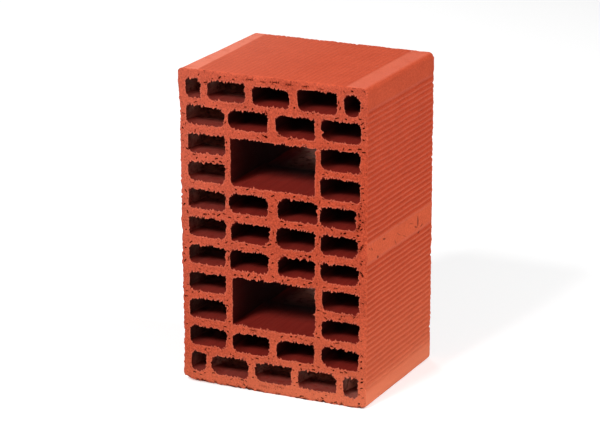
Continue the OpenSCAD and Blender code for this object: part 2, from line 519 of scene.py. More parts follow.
def edge_radius(seed):
    """Radius of the blunt edge at each point of the outline, in mm."""
    draw = np.random.default_rng(seed)
    slow = wobble(outline[:, 0], 0, outline[:, 1], RADIUS_LUMPS, seed)
    chips = draw.uniform(*chip_sizes, len(outline)) * (draw.random(len(outline)) < CHIP_SHARE)
    radius = np.where(on_top, TOP_RADIUS, OTHER_RADIUS) + RADIUS_CHANGE * slow + smoothed(chips, 2)
    return np.clip(radius, *radius_limits)


sample = edge_radius(FRONT_EDGE_SEED)
print("front edge radius from", sample.min().round(2), "to", sample.max().round(2), "mm")

# %% [markdown]
# The wire drags clay into the ends of the grooves. To close them there, the outline is drawn towards a
# copy of itself without grooves, and only near the cut faces. The distance between the two outlines also
# says how deep each point lies in a groove, which the material needs: the grooves get painted shade, and
# the crests of the ribs a painted highlight.

# %% Fill the ends of the grooves
ARRIS = 6.0  # mm at each end of a face that the rounded arris takes
SMEAR, SMEAR_FRONT_RIGHT = 0.95, 0.6  # how far a groove is filled at a cut face
SMEAR_DEPTH = 3.2  # mm behind the cut face where the filling ends

filled = outline.copy()
flat_side = on_side & (abs(outline[:, 1] - length / 2) < length / 2 - ARRIS)
flat_end = ~on_side & (abs(outline[:, 0]) < high[0] - ARRIS)
filled[flat_side, 0] = np.sign(outline[flat_side, 0]) * high[0]
filled[flat_end, 1] = np.where(outward[flat_end, 1] > 0, high[2], low[2])
sunk = np.hypot(*(filled - outline).T)
front_smear = np.where(outline[:, 0] > high[0] - ARRIS, SMEAR_FRONT_RIGHT, SMEAR)
print("grooves up to", sunk[flat_side].max().round(2), "mm deep, comb lines",
      sunk[flat_end].max().round(2), "mm")

# %% Mark the grooves and the crests
# The groove mark carries painted shade: in the side grooves, and all over the combed ends.
GROOVE_WIDENS = 1.5  # above 1, a groove's mark is full before its deepest line
COMB_GROUND, COMB_LINE = 0.734, 0.39  # the mark between the comb lines of an end, and what a line adds
LEAST_ON_ARRIS = 0.25  # what is left of an end's mark on the arris
# The crest mark carries a painted highlight.
CREST_NARROWS = 2.0  # how fast the mark of a crest fades towards a groove
BESIDE_GROOVE = 0.1  # a crest is where the points around it have more than this of a groove's mark

side_groove = np.clip(GROOVE_WIDENS * np.sqrt(sunk / sunk[flat_side].max()), 0, 1)
end_groove = COMB_GROUND + COMB_LINE * sunk / sunk[flat_end].max()
end_groove *= np.clip((high[0] - abs(outline[:, 0])) / ARRIS, LEAST_ON_ARRIS, 1)
groove = np.where(flat_side, side_groove, end_groove)
near_groove = smoothed(side_groove * flat_side, 3) > BESIDE_GROOVE
crest = flat_side * np.clip(1 - CREST_NARROWS * side_groove, 0, 1) * near_groove
print(int((crest > 0).sum()), "points on the crests of the ribs")

# %% [markdown]
# A few places of the outline are noted from the real brick. Its lower left front corner is chipped off
# below a small lip, and its lower right one is blunt. The left edge leans: it stands out a little at the
# top and draws back towards the foot, because the column sagged when it was cut. A sculpting brush could
# do that once, by hand. A few limits and depths do it in the same way on every run.

# %% Chip two corners and lean an edge
# The chips: places across the brick, and up to which height the clay is gone there, in mm.
left_chip_x, left_chip_z = low[0] + np.array((0, 3.5, 5, 8, 11, 16)), (4.5, 4.4, 3.7, 2.4, 1.6, 0)
right_chip_x, right_chip_z = high[0] - np.array((5, 0)), (0, 3)
LEFT_CHIP_DEPTH, RIGHT_CHIP_DEPTH, CHIP_ROUGHNESS = 30.0, 8.0, 0.06
CHIP_LUMPS, CHIP_SEED = 1.3, 3
FOOT_RISE = 1.4  # mm by which the lower edge rises towards the left
# The left edge: how far it stands out at four heights, and how deep behind the front it is straight again.
lean_z, lean_x, LEAN_DEPTH = (0, 180, 257, 268), (-1.2, 0, 0, 1.6), 70.0


def moved_corners(spots, behind):
    """Leans the left edge and lifts the points of the chips. Returns also how whole each point is."""
    lean = np.interp(spots[:, 1], lean_z, lean_x) * np.clip(1 - behind / LEAN_DEPTH, 0, 1)
    near_left = np.clip(1 - behind / LEFT_CHIP_DEPTH, 0, 1)
    near_right = np.clip(1 - behind / RIGHT_CHIP_DEPTH, 0, 1)
    rough = 1 + CHIP_ROUGHNESS * wobble(spots[:, 0], behind, spots[:, 1], CHIP_LUMPS, CHIP_SEED)
    left = np.interp(spots[:, 0], left_chip_x, left_chip_z) * near_left * rough
    right = np.interp(spots[:, 0], right_chip_x, right_chip_z) * near_right * rough
    rise = np.interp(spots[:, 0], (low[0], 0), (FOOT_RISE, 0)) * near_left * np.clip(-outward[:, 1], 0, 1)
    x = spots[:, 0] - lean * np.clip(-outward[:, 0], 0, 1)
    z = np.maximum(spots[:, 1] + rise, np.maximum(left, right))
    return np.stack([x, z], 1), smoothed(np.where(z > spots[:, 1] + rise, 0.0, 1.0), 3)


print("chips", left_chip_z[0], "and", right_chip_z[-1], "mm high, the left edge leans from",
      lean_x[0], "to", lean_x[-1], "mm")

# %% [markdown]
# Beside the comb, the two ends have smooth, paler strips where the die rubbed the clay. Each point of the
# outline gets a mark for them, with a soft border. The left one grows wider towards the front.

# %% Mark the smooth strips
LEFT_STRIP_FRONT, LEFT_STRIP_BACK, RIGHT_STRIP, STRIP_BORDER = 18.0, 14.0, 20.0, 2.4
RIGHT_PALENESS, RIGHT_ARRIS = 0.38, 3.0  # the right strip is less pale, and its arris is not pale at all


def strip_share(y):
    """How far each point of a turn is on a smooth strip, from 0 to 1."""
    from_left, from_right = outline[:, 0] - low[0], high[0] - outline[:, 0]
    left = np.interp(y, (front_y, back_y), (LEFT_STRIP_FRONT, LEFT_STRIP_BACK)) - from_left
    right = np.minimum(RIGHT_STRIP - from_right, from_right - RIGHT_ARRIS)
    on_left, on_right = (np.clip(inside / STRIP_BORDER + 0.5, 0, 1) for inside in (left, right))
    return (on_left + RIGHT_PALENESS * on_right) * (abs(outward[:, 1]) > FACING)


print(int((strip_share(front_y) > 0).sum()), "points of a turn lie on the strips")

# %% [markdown]
# Then the outline is wound from front to back: close turns round the two cut edges, and wide ones along
# the body. An array of copies would be quicker to make, but all turns would be the same. Here each one is
# moved a little, so that the ribs wander.

# %% Wind one turn round the brick
RIB_WANDER, WANDER_LUMPS, WANDER_SEED = 0.3, 30.0, 9
RIB_SWELL, SWELL_LUMPS, SWELL_SEED = 0.12, 18.0, 5
MOST_SWELL = 0.05  # mm by which a swelling may stand out


def outside_turn(y, inset, **marks):
    """One turn round the brick at depth y, moved inwards by inset."""
    y = np.broadcast_to(y, len(outline))
    smear = np.where(y < 0, front_smear, SMEAR)
    smear = smear * np.clip(1 - np.minimum(y - front_y, back_y - y) / SMEAR_DEPTH, 0, 1)
    swell = RIB_SWELL * wobble(outline[:, 0], y, outline[:, 1], SWELL_LUMPS, SWELL_SEED)
    wander = RIB_WANDER * wobble(outline[:, 0], y, outline[:, 1], WANDER_LUMPS, WANDER_SEED) * on_side
    spots, whole = moved_corners(outline + (filled - outline) * smear[:, None], y - front_y)
    spots += outward * (whole * (np.minimum(swell, MOST_SWELL) - inset))[:, None]
    spots[:, 1] = np.clip(spots[:, 1] + wander, low[2], high[2])
    marks.update(smooth_strip=strip_share(y), groove=groove * (1 - smear), crest=crest * (1 - smear))
    return ring_at(spots, y, **marks)


print("a turn has", len(outline), "points")

# %% Wind the outside from front to back
edge_stations = (0.0, 0.3, 1.0)  # in edge radii
near_stations = (3.0, 5.5, 10.0)  # mm behind the cut face
BODY_TURNS = 14
ROUGH_FRONT, ROUGH_BACK = 1.0, 0.55  # how rough the two cut edges are
EDGE_GRAIN, EDGE_WANDER, EDGE_LUMPS = 0.6, 0.3, 7.0  # mm
EDGE_RIM = 0.6  # how much of a rim's look the edge gets
# The painted shadow along the lowest edge: its mean and its spread per point, before clipping.
MEAN_FOOT_SHADOW, FOOT_SHADOW_SPREAD = 0.5, 1.2
FOOT_NORMAL = -0.6  # the painted shadow lies where the normal points down more than this


def edge_turns(face_y, inwards, seed):
    """Turns that round one cut edge, from the face to the full outline. The lowest edge gets a painted
    shadow.
    """
    draw = np.random.default_rng(seed)
    radius = edge_radius(seed)
    rough = smoothed(draw.normal(0, EDGE_GRAIN, len(outline)), 2)
    rough += EDGE_WANDER * wobble(outline[:, 0], face_y, outline[:, 1], EDGE_LUMPS, seed)
    rough *= ROUGH_FRONT if inwards > 0 else ROUGH_BACK
    foot_shadow = smoothed(draw.normal(MEAN_FOOT_SHADOW, FOOT_SHADOW_SPREAD, len(outline)), 2)
    foot_shadow = np.clip(foot_shadow, 0, 1) * (outward[:, 1] < FOOT_NORMAL)
    turns = []
    for share in edge_stations:
        near = float(share < 1)
        inset = radius * (1 - math.sqrt(1 - (1 - share) ** 2)) + rough * near
        y = face_y + inwards * radius * share
        # The lowest edge's painted shadow is carried by the pits' mark and tone.
        turns.append(outside_turn(y, inset, rim=EDGE_RIM * near, pit=foot_shadow * near))
    return turns + [outside_turn(face_y + inwards * depth, 0.0) for depth in near_stations]


body_y = np.linspace(front_y + near_stations[-1], back_y - near_stations[-1], BODY_TURNS + 2)[1:-1]
front_turns = edge_turns(front_y, 1, FRONT_EDGE_SEED)
body_turns = [outside_turn(y, 0.0) for y in body_y]
turns = front_turns + body_turns + edge_turns(back_y, -1, BACK_EDGE_SEED)[::-1]
for ring, next_ring in zip(turns, turns[1:]):
    join_rings(ring, next_ring)
print("with the outside:", sum(map(len, clay_points)), "points,", len(clay_faces), "faces")

# %% [markdown]
# ## The cut faces
# The wire leaves a matt, grainy face. It rips out grit, so the webs are peppered with pits, it smears
# crumbs on, and here and there it opens a longer tear. Pits that come only from a bump texture cast no
# shadow and are lost in an exported mesh, so each pit is a small bowl of its own points, and a crumb is a
# bowl turned upside down. The tears that stand out on the real brick are listed one by one.

# %% Note the tears of the front face
# Tears: x, z, half length, half width, slant in degrees, depth.
front_tears = [
    (35.6, 133.3, 2.0, 1.1, 40, 2.0), (32, 134, 1.2, 0.8, -20, 1.6), (27, 132.5, 1.2, 0.7, 10, 1.4),
    (-6.5, 236.5, 2.0, 1.2, -20, 1.8), (-9, 237.5, 1.0, 0.7, 40, 1.4), (82.3, 177.1, 2.6, 1.0, 98, 2.0),
    (82.1, 165.9, 4.5, 1.0, 67, 2.0), (84.6, 164.6, 1.7, 0.7, 42, 1.6), (86.2, 171, 1.5, 0.7, -10, 1.2),
    (84.5, 147.4, 4.2, 1.0, 63, 2.0), (86.4, 150.8, 1.0, 0.7, 0, 1.4), (85.3, 124, 2.8, 1.1, -55, 2.0),
    (83.4, 115, 1.4, 0.7, 85, 1.5), (85.5, 136, 1.2, 0.7, 5, 1.4), (83.7, 183.2, 1.0, 0.7, 30, 1.2),
    (82.5, 236, 2.2, 0.9, 5, 1.5), (86.2, 255, 1.3, 0.8, 40, 1.4), (85.3, 44, 1.2, 0.9, 60, 1.6),
    (85.5, 38, 1.2, 0.9, 50, 1.6), (86, 25, 1.5, 0.9, 30, 1.5), (70.5, 31.8, 2.0, 0.8, -25, 1.4),
    (15, 109, 1.6, 0.8, 20, 1.4), (-45.5, 135.5, 1.6, 0.7, 40, 1.4), (26.5, 160.8, 2.4, 0.9, 5, 1.4),
    (12, 159.5, 1.4, 0.8, 30, 1.3), (69, 159, 1.6, 0.9, 25, 1.5), (65.5, 158.5, 1.2, 0.7, 70, 1.4),
    (21, 186, 1.4, 0.9, 20, 1.5), (-24.5, 186.8, 1.6, 0.8, 30, 1.4), (8.5, 55.5, 1.6, 0.8, 40, 1.4),
    (62.8, 275, 1.6, 0.7, 90, 1.5), (64.2, 270, 1.9, 0.7, 75, 1.5), (20.8, 265.5, 1.2, 0.9, 50, 1.5),
    (-42, 158.8, 1.8, 0.8, -5, 1.4), (-44.6, 227, 1.4, 0.8, 70, 1.5), (-74, 209.5, 1.3, 0.7, 60, 1.3),
    (2, 286, 5, 0.7, 1, 1.2), (16, 285.3, 4, 0.7, -2, 1.2), (-22, 285.8, 4, 0.6, 2, 1.0),
    (-9, 285.2, 3, 0.6, -3, 1.0), (31, 285.5, 4, 0.6, 2, 1.0), (46, 285, 3, 0.6, -4, 1.0),
    (-9, 6, 6, 0.6, -3, 0.4), (6, 7.5, 5, 0.6, 2, 0.4), (-30, 132.5, 2.4, 0.6, 10, 1.0),
    (0, 184, 2.2, 0.8, 30, 1.3), (-45.6, 245, 1.2, 0.6, 60, 1.4),
    (45, 184, 2.4, 0.5, 75, 1.2), (-43.5, 121, 3.0, 0.6, 95, 1.6),
    (0.5, 150, 2.8, 0.5, 97, 1.4), (-66.5, 158.8, 2.4, 0.9, 8, 1.4),
    (60, 108, 3.0, 0.6, 3, 1.1), (-20, 57, 3.4, 0.6, -2, 1.0), (62, 57.5, 3.0, 0.6, 8, 1.1),
    (0, 110, 1.6, 0.8, -30, 1.4), (83.4, 172.7, 1.2, 0.8, 60, 1.8), (84.4, 185.7, 1.0, 0.6, -40, 1.0),
    (84, 188, 1.0, 0.5, 10, 0.9), (85.4, 179.9, 1.0, 0.6, 10, 0.9),
    (86.2, 177.4, 0.9, 0.5, -20, 0.8), (85.4, 168, 0.9, 0.5, 30, 0.9), (71.8, 157, 0.9, 0.5, 30, 0.9),
    (76.2, 186, 1.0, 0.6, 40, 0.9),
]
print(len(front_tears), "named tears, the longest", 2 * max(tear[2] for tear in front_tears), "mm")

# %% Shape a pit
BIG_PIT = 0.9  # a bowl with a half length above this, in mm, gets more points
# Rings of a bowl from its rim to its floor: size, share of the depth, number of points.
big_bowl = ((1.0, 0.0, 14), (0.86, 0.9, 10), (0.15, 1.0, 3))
small_bowl = ((1.0, 0.0, 6), (0.0, 1.0, 1))


def bowl(pit):
    """Points of one pit or crumb: x, z and depth."""
    x, z, half_length, half_width, slant, depth = pit
    tilt = math.radians(slant)
    rows = []
    for size, share, count in big_bowl if half_length > BIG_PIT else small_bowl:
        turn = np.linspace(0, 2 * math.pi, count, endpoint=False)
        along, across = half_length * size * np.cos(turn), half_width * size * np.sin(turn)
        spot_x = x + along * math.cos(tilt) - across * math.sin(tilt)
        spot_z = z + along * math.sin(tilt) + across * math.cos(tilt)
        rows.append(np.stack([spot_x, spot_z, np.full(count, depth * share)], 1))
    return np.vstack(rows)


print("the first tear has", len(bowl(front_tears[0])), "points")

# %% [markdown]
# A pit may not cut into a rim, so all of its points have to lie in clay. Asking all forty-one outlines
# about every point would be slow. A search tree finds the outline nearest to a point, and that one
# decides alone: clay lies inside the outer outline and outside the others.

# %% Tell clay from holes
def lies_inside(ring, x, z):
    """Whether a point lies inside a closed outline: a ray from it crosses that an odd number of times."""
    after = np.roll(ring, -1, 0)
    crosses = (ring[:, 1] > z) != (after[:, 1] > z)
    rise = np.where(crosses, after[:, 1] - ring[:, 1], 1)
    at = ring[:, 0] + (z - ring[:, 1]) * (after[:, 0] - ring[:, 0]) / rise
    return (crosses & (x < at)).sum() % 2 == 1


def tree_of(spots):
    """A search tree over points in the plane of the face."""
    tree = KDTree(len(spots))
    for number, (x, z) in enumerate(spots):
        tree.insert((x, 0, z), number)
    tree.balance()
    return tree


class CutPlane:
    """The outlines of one cut face, the outer one first, and what lies between them."""

    def __init__(self, rings):
        self.rings = rings
        self.owner = np.repeat(np.arange(len(rings)), [len(ring) for ring in rings])
        self.spots = np.vstack(rings)
        self.tree = tree_of(self.spots)

    def from_edge(self, x, z):
        """How far a point is from the nearest outline."""
        return self.tree.find((x, 0, z))[2]

    def is_clay(self, x, z):
        """Whether a point lies inside the outer outline and in no hole. The nearest outline decides."""
        owner = self.owner[self.tree.find((x, 0, z))[1]]
        return lies_inside(self.rings[owner], x, z) == (owner == 0)


plan = CutPlane([even_steps(ring, len(ring) * 4) for ring in [die_outline] + outlines])
places = {"the middle web": (0, length / 2), "a hand hole": (0, holes["hand", 1][1::2].mean())}
print("clay:", {place: bool(plan.is_clay(*spot)) for place, spot in places.items()})

# %% [markdown]
# Grit is ripped out mostly beside the rims. Pits and crumbs are therefore drawn at random over the whole
# face, and one that is far from a rim is often thrown away again. Geometry nodes could scatter ready-made
# bowls, but those would only lie on the face. Here their points become part of it.

# %% Scatter pits and crumbs
front_counts, back_counts = (330, 560), (170, 420)  # large and small ones on each cut face
# Large and small ones: limits of the half width in mm, and limits of the length in widths.
big_pits, small_pits = ((0.45, 0.9), (1.3, 3.0)), ((0.25, 0.5), (1.0, 1.6))
pit_depths, PIT_SLANT = (1.2, 2.0), 30.0  # depths in half widths, and the usual slant in degrees
CRUMB_SHARE, CRUMB_HEIGHT, crumb_sizes = 0.22, -0.4, (0.5, 1)  # a height is a negative depth
RIM_CLEARANCE, PIT_CLEARANCE = 0.2, 0.3  # mm
NEAR_RIM, FAR_SHARE = 3.0, 0.35  # of the pits farther than this from a rim, this share is kept


def drawn_pit(draw, widths, lengths):
    """A pit or a crumb of random place, size, slant and depth."""
    x, z = draw.uniform((low[0], low[2]), (high[0], high[2]))
    half_width = draw.uniform(*widths)
    half_length = half_width * draw.uniform(*lengths)
    crumb = draw.random() < CRUMB_SHARE
    depth = CRUMB_HEIGHT * draw.uniform(*crumb_sizes) if crumb else half_width * draw.uniform(*pit_depths)
    return x, z, half_length, half_width, draw.normal(0, PIT_SLANT), depth


def in_clay(pit, plane):
    """Whether a whole pit lies in clay."""
    return all(plane.is_clay(x, z) for x, z, _ in bowl(pit))


def is_clear(pit, plane, placed, draw):
    """Whether a pit lies in clay and clear of the others. Most pits are near a rim."""
    x, z, reach, half_width = pit[:4]
    from_edge = plane.from_edge(x, z)
    if from_edge < half_width + RIM_CLEARANCE or (from_edge > NEAR_RIM and draw.random() > FAR_SHARE):
        return False
    apart = all(math.dist((x, z), other[:2]) > reach + other[2] + PIT_CLEARANCE for other in placed)
    return apart and in_clay(pit, plane)


def scattered_bowls(plane, tears, counts, seed):
    """Points of the named tears and of scattered pits and crumbs."""
    draw = np.random.default_rng(seed)
    placed = [tear for tear in tears if in_clay(tear, plane)]
    print(len(placed), "of", len(tears), "named tears lie in clay")
    for (widths, lengths), count in zip((big_pits, small_pits), counts):
        wanted = len(placed) + count
        while len(placed) < wanted:
            pit = drawn_pit(draw, widths, lengths)
            if is_clear(pit, plane, placed, draw):
                placed.append(pit)
    return np.vstack([bowl(pit) for pit in placed])


print(sum(front_counts), "pits and crumbs at the front,", sum(back_counts), "at the back")

# %% [markdown]
# Between the rims and the pits a loose grid of points is scattered. A constrained triangulation then
# joins everything: it keeps each rim as a chain of edges and never crosses it, which a plain grid of
# faces could not do for forty ragged holes. The triangles that fill the holes are thrown away.

# %% Scatter the loose points of a face
FACE_STEP, ROW_STEP = 1.8, 0.87  # mm between points in a row, and between rows as a share of that
JITTER, KEEP_OFF = 0.3, 0.5  # in steps: how far a point moves, and how near it may come to a rim or a bowl
# Relief of a cut face: slow dents, lines along the wire's way, and grain. For each, its height in mm, the
# size of its lumps, and how many times longer they are along the wire's way.
cut_reliefs = ((0.2, 40.0, 1), (0.1, 2.5, 7), (0.1, 2.0, 1))


def loose_points(plane, bowls, seed):
    """A jittered grid over the clay that keeps off the rims and the bowls."""
    draw = np.random.default_rng(seed)
    columns = np.arange(low[0], high[0], FACE_STEP)
    x, z = np.meshgrid(columns, np.arange(low[2], high[2], FACE_STEP * ROW_STEP))
    x = x + FACE_STEP / 2 * (np.arange(len(x)) % 2)[:, None]
    spots = np.stack([x.ravel(), z.ravel()], 1) + draw.uniform(-JITTER, JITTER, (x.size, 2)) * FACE_STEP
    taken = tree_of(np.vstack([plane.spots, bowls[:, :2]]))
    keep = [taken.find((x, 0, z))[2] > KEEP_OFF * FACE_STEP and plane.is_clay(x, z) for x, z in spots]
    return spots[keep]


def cut_relief(spots, seed):
    """How far each point of the cut face lies below its plane, in mm."""
    x, z = spots.T
    return sum(height * wobble(x, 0, z / longer, size, seed + number)
               for number, (height, size, longer) in enumerate(cut_reliefs))


print("loose grid of", round((high[0] - low[0]) / FACE_STEP), "points across the brick")

# %% [markdown]
# The triangulation also fills the forty holes. Those triangles are easy to find, because all three
# corners of such a triangle lie on the same rim, and its middle is in the hole.

# %% Fill the two cut faces
DARK_PIT = 1.0  # a pit at least this deep gets painted shade that looks black
RIM_REACH = 2.0  # mm from a rim within which the clay takes on a rim's look: a painted highlight and more specks
ALL_TRIANGLES = 0  # the kind of output that keeps every triangle
SAME_POINT = 1e-7  # mm within which the triangulation joins two points
FRONT_FACE_SEED, BACK_FACE_SEED = 41, 42


def clay_only(triangles, plane, count):
    """The triangles in clay. One in a hole, or off the brick, has all its corners on one outline."""
    owner = np.concatenate([plane.owner, np.full(count - len(plane.owner), -1)])[triangles]
    doubtful = np.nonzero((owner == owner[:, :1]).all(1) & (owner[:, 0] >= 0))[0]
    keep = np.ones(len(triangles), bool)
    for number in doubtful:
        ring = owner[number, 0]
        middle = plane.spots[triangles[number]].mean(0)
        keep[number] = lies_inside(plane.rings[ring], *middle) == (ring == 0)
    return triangles[keep]


def fill_cut_face(face_y, inwards, edges, tears, counts, seed):
    """Fills one bed face between its outer edge and its rims with grainy, pitted clay."""
    every = np.vstack(clay_points)[:, [0, 2]]
    plane = CutPlane([every[edge] for edge in edges])
    bowls = scattered_bowls(plane, tears, counts, seed)
    loose = loose_points(plane, bowls, seed)
    inner_spots = np.vstack([bowls[:, :2], loose])
    depth = np.concatenate([bowls[:, 2], np.zeros(len(loose))])
    pit_shade = np.clip(depth / DARK_PIT, 0, 1)
    near_rim = np.array([max(0, 1 - plane.from_edge(x, z) / RIM_REACH) for x, z in inner_spots])
    y = face_y + inwards * (depth + cut_relief(inner_spots, seed))
    inner = ring_at(inner_spots, y, pit=pit_shade, rim=near_rim)

    spots = np.vstack([plane.spots, inner_spots])
    walls = []
    for edge in edges:
        start = len(walls)
        walls += [(start + i, start + (i + 1) % len(edge)) for i in range(len(edge))]
    made = delaunay_2d_cdt([Vector(spot) for spot in spots], walls, [], ALL_TRIANGLES, SAME_POINT)
    assert len(made[0]) == len(spots), "a rim crosses itself or another rim"
    triangles = clay_only(np.array(made[2]), plane, len(spots))
    clay_faces.extend(np.concatenate(edges + [inner])[triangles].tolist())
    print("cut face at y =", round(face_y, 1), "mm:", len(inner), "inner points,",
          len(triangles), "triangles")


fill_cut_face(front_y, 1, [turns[0]] + front_rims, front_tears, front_counts, FRONT_FACE_SEED)
fill_cut_face(back_y, -1, [turns[-1]] + back_rims, [], back_counts, BACK_FACE_SEED)

# %% [markdown]
# ## The dressed brick
# All blocks now become one Blender mesh. The normals are turned outwards, and the shading is smooth
# except where two faces meet at a sharp angle, so ribs look pressed and torn rims stay crisp.

# %% Make the mesh
SHARP = math.radians(48)


def make_brick(name):
    """One closed mesh object from the gathered points and faces, with its marks as attributes."""
    mesh = bpy.data.meshes.new(name)
    mesh.from_pydata((np.vstack(clay_points) * MM).tolist(), [], clay_faces)
    for mark, blocks in clay_marks.items():
        layer = mesh.attributes.new(mark, "FLOAT", "POINT")
        layer.data.foreach_set("value", np.concatenate(blocks).astype(np.float32))
    shell = bmesh.new()
    shell.from_mesh(mesh)
    bmesh.ops.recalc_face_normals(shell, faces=shell.faces)
    open_edges = sum(not edge.is_manifold for edge in shell.edges)
    volume = shell.calc_volume(signed=True)
    shell.to_mesh(mesh)
    shell.free()
    mesh.polygons.foreach_set("use_smooth", np.ones(len(mesh.polygons), bool))
    mesh.set_sharp_from_angle(angle=SHARP)
    piece = bpy.data.objects.new(name, mesh)
    bpy.context.collection.objects.link(piece)
    mesh.calc_loop_triangles()
    print(name, len(mesh.loop_triangles), "triangles,", open_edges, "open edges,",
          round(volume * 1e3, 3), "litres")
    return piece


brick = make_brick("fired_brick")
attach(brick, "root")
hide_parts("brick")

# %% [markdown]
# ## Fired clay
# The colour of a red brick is the iron in its clay: strong orange red, a little paler where the die
# rubbed the ends smooth, and darker and browner in pits and in the cells, where that darkness is painted
# shade. One material does all of it: noise in the brick's own coordinates varies the tone, and the marks
# on the mesh choose between the finishes.

# %% A helper for shader nodes
MIX_INPUTS, MIX_OUTPUT = (0, 6, 7), 2  # a Mix node's sockets for a share and two colours, and their result


class Shader:
    """Adds shader nodes and joins them."""

    def __init__(self, owner):
        owner.use_nodes = True
        self.tree = owner.node_tree
        self.tree.nodes.clear()

    def add(self, kind, settings=None, **inputs):
        """A node of that kind; inputs are named with _ for a space."""
        node = self.tree.nodes.new("ShaderNode" + kind)
        for name, value in (settings or {}).items():
            setattr(node, name, value)
        for name, value in inputs.items():
            self.feed(node.inputs[name.replace("_", " ")], value)
        return node

    def feed(self, socket, value):
        """Links another node's output to a socket, or writes a value on it."""
        if isinstance(value, bpy.types.NodeSocket):
            self.tree.links.new(value, socket)
        elif socket.type == "RGBA":
            socket.default_value = (*value, 1.0)
        else:
            socket.default_value = value

    def mix(self, share, first, second):
        """A colour between two, by a share from 0 to 1."""
        node = self.add("Mix", {"data_type": "RGBA"})
        for socket, value in zip(MIX_INPUTS, (share, first, second)):
            self.feed(node.inputs[socket], value)
        return node.outputs[MIX_OUTPUT]

    def math(self, operation, first, *others):
        """One operation on a number, or on several from left to right."""
        for other in others or (0.0,):
            node = self.add("Math", {"operation": operation})
            self.feed(node.inputs[0], first)
            self.feed(node.inputs[1], other)
            first = node.outputs[0]
        return first

    def times(self, *values):
        """The product of several numbers."""
        return self.math("MULTIPLY", *values)

    def plus(self, *values):
        """The sum of several numbers."""
        return self.math("ADD", *values)

    def rest(self, share):
        """What is left of 1."""
        return self.math("SUBTRACT", 1.0, share)

    def ramp(self, value, start, end, most=1.0):
        """From 0 at start to the most at end, and level before and behind."""
        limits = {"From_Min": start, "From_Max": end, "To_Max": most}
        node = self.add("MapRange", {"clamp": True}, Value=value, **limits)
        return node.outputs["Result"]

    def mark(self, name):
        """A mark of the mesh."""
        return self.add("Attribute", {"attribute_name": name}).outputs["Fac"]

    def grain(self, place, size, detail=3.0, roughness=0.5):
        """Noise with lumps of that size, in the units of place."""
        node = self.add("TexNoise", Vector=place, Scale=1 / size, Detail=detail, Roughness=roughness)
        return node.outputs["Fac"]


print("shader helpers:", [name for name in vars(Shader) if not name.startswith("_")])

# %% [markdown]
# Every finish depends on where a point lies: how high, how deep, and on which face. The coordinates come
# from the object itself, so they need no unwrapping, and they are scaled to millimetres. Two more copies
# of them are squeezed along one axis: noise in the first is drawn out along the cells, as the die drew
# the clay, and noise in the second is dragged along the wire's way.

# %% Find out where a point lies
# How many units a metre counts along x, y and z, as it is, drawn out and dragged down.
plain_scale, drawn_scale, dragged_scale = (1000, 1000, 1000), (1000, 50, 1000), (1000, 1000, 150)
cut_normals = (0.5, 0.8)  # how far a normal points along the cells where a cut face begins, and is full
level_normals = (0.3, 0.7)  # the same for level faces, and how far it points up or down
side_begins, side_is_full = high[0] - 4.5, high[0] - 1.5


def lie_of(shader):
    """Where a point lies, and how far it is on a cut face, on the skin, on a level face and on a side."""
    place = shader.add("TexCoord").outputs["Object"]
    scaled = [shader.add("Mapping", Vector=place, Scale=scale).outputs["Vector"]
              for scale in (plain_scale, drawn_scale, dragged_scale)]
    lie = SimpleNamespace(in_mm=scaled[0], drawn=scaled[1], dragged=scaled[2])
    lie.at = shader.add("SeparateXYZ", Vector=lie.in_mm).outputs
    normal = shader.add("NewGeometry").outputs["Normal"]
    facing = shader.add("SeparateXYZ", Vector=normal).outputs
    lie.cut = shader.ramp(shader.math("ABSOLUTE", facing["Y"]), *cut_normals)
    lie.skin = shader.rest(lie.cut)
    lie.level = shader.ramp(shader.math("ABSOLUTE", facing["Z"]), *level_normals)
    lie.side = shader.ramp(shader.math("ABSOLUTE", lie.at["X"]), side_begins, side_is_full)
    return lie


print("the sides begin", side_begins.round(1), "mm from the middle")

# %% [markdown]
# The ribbed sides are not one even red: the head is darker with painted shade, and below the tone turns
# warmer with painted light bounced up from the floor. Between the ribs the grooves get painted shade, and
# their crests a painted highlight. An image could show all that, but a soft step along the height is two
# levels and a share, which are easy to read and to change.

# %% Colour the ribbed sides
# Painted tones of the sides: shade in the grooves and at the head, floor bounce light, a crest highlight.
groove_shade_tone, bounce_tone = (0.31, 0.034, 0.015), (0.98, 0.22, 0.08)
rib_shade_tone, crest_highlight_tone = (0.40, 0.026, 0.0065), (0.52, 0.128, 0.098)
# Steps along the height, of the painted shade at the head and of the painted bounce light below: where
# they begin and end, in mm above the floor, and how much they change.
head_shade_steps = ((262.0, 270.0, 0.17), (195.0, 235.0, 0.07))
bounce_steps = ((200.0, 150.0, 0.09), (130.0, 10.0, 0.14))
# How strong the grooves' painted shade is: what it gains from 265 down to 130 mm, and the least.
groove_step, LEAST_GROOVE = (265.0, 130.0, 0.25), 0.355
CREST_HIGHLIGHT_SHARE = 0.27


def side_colour(shader, lie, colour):
    """The colour: painted shade at the side's head, painted bounce light below, a painted crest highlight.
    """
    for steps, tone in ((head_shade_steps, groove_shade_tone), (bounce_steps, bounce_tone)):
        share = shader.plus(*(shader.ramp(lie.at["Z"], *step) for step in steps))
        colour = shader.mix(shader.times(share, lie.side), colour, tone)
    return shader.mix(shader.times(shader.mark("crest"), CREST_HIGHLIGHT_SHARE), colour, crest_highlight_tone)


def grooved(shader, lie, colour):
    """The colour with painted shade in the grooves of the sides and on the combed ends."""
    strength = shader.plus(shader.ramp(lie.at["Z"], *groove_step), LEAST_GROOVE)
    share = shader.times(shader.mark("groove"), lie.skin, strength)
    return shader.mix(share, colour, shader.mix(lie.side, groove_shade_tone, rib_shade_tone))


print(len(head_shade_steps) + len(bounce_steps), "steps along the height of the sides")

# %% [markdown]
# Some regions are paler: the smooth strips, which the die rubbed, the foot of the skin and, a little, the
# lower right of the brick, both painted light bounced up from the floor, and, a little, the upper left and
# the upper right. A painted mask would need unwrapping first. Here a region is a soft step in x times a
# soft step in z, so it has no border.

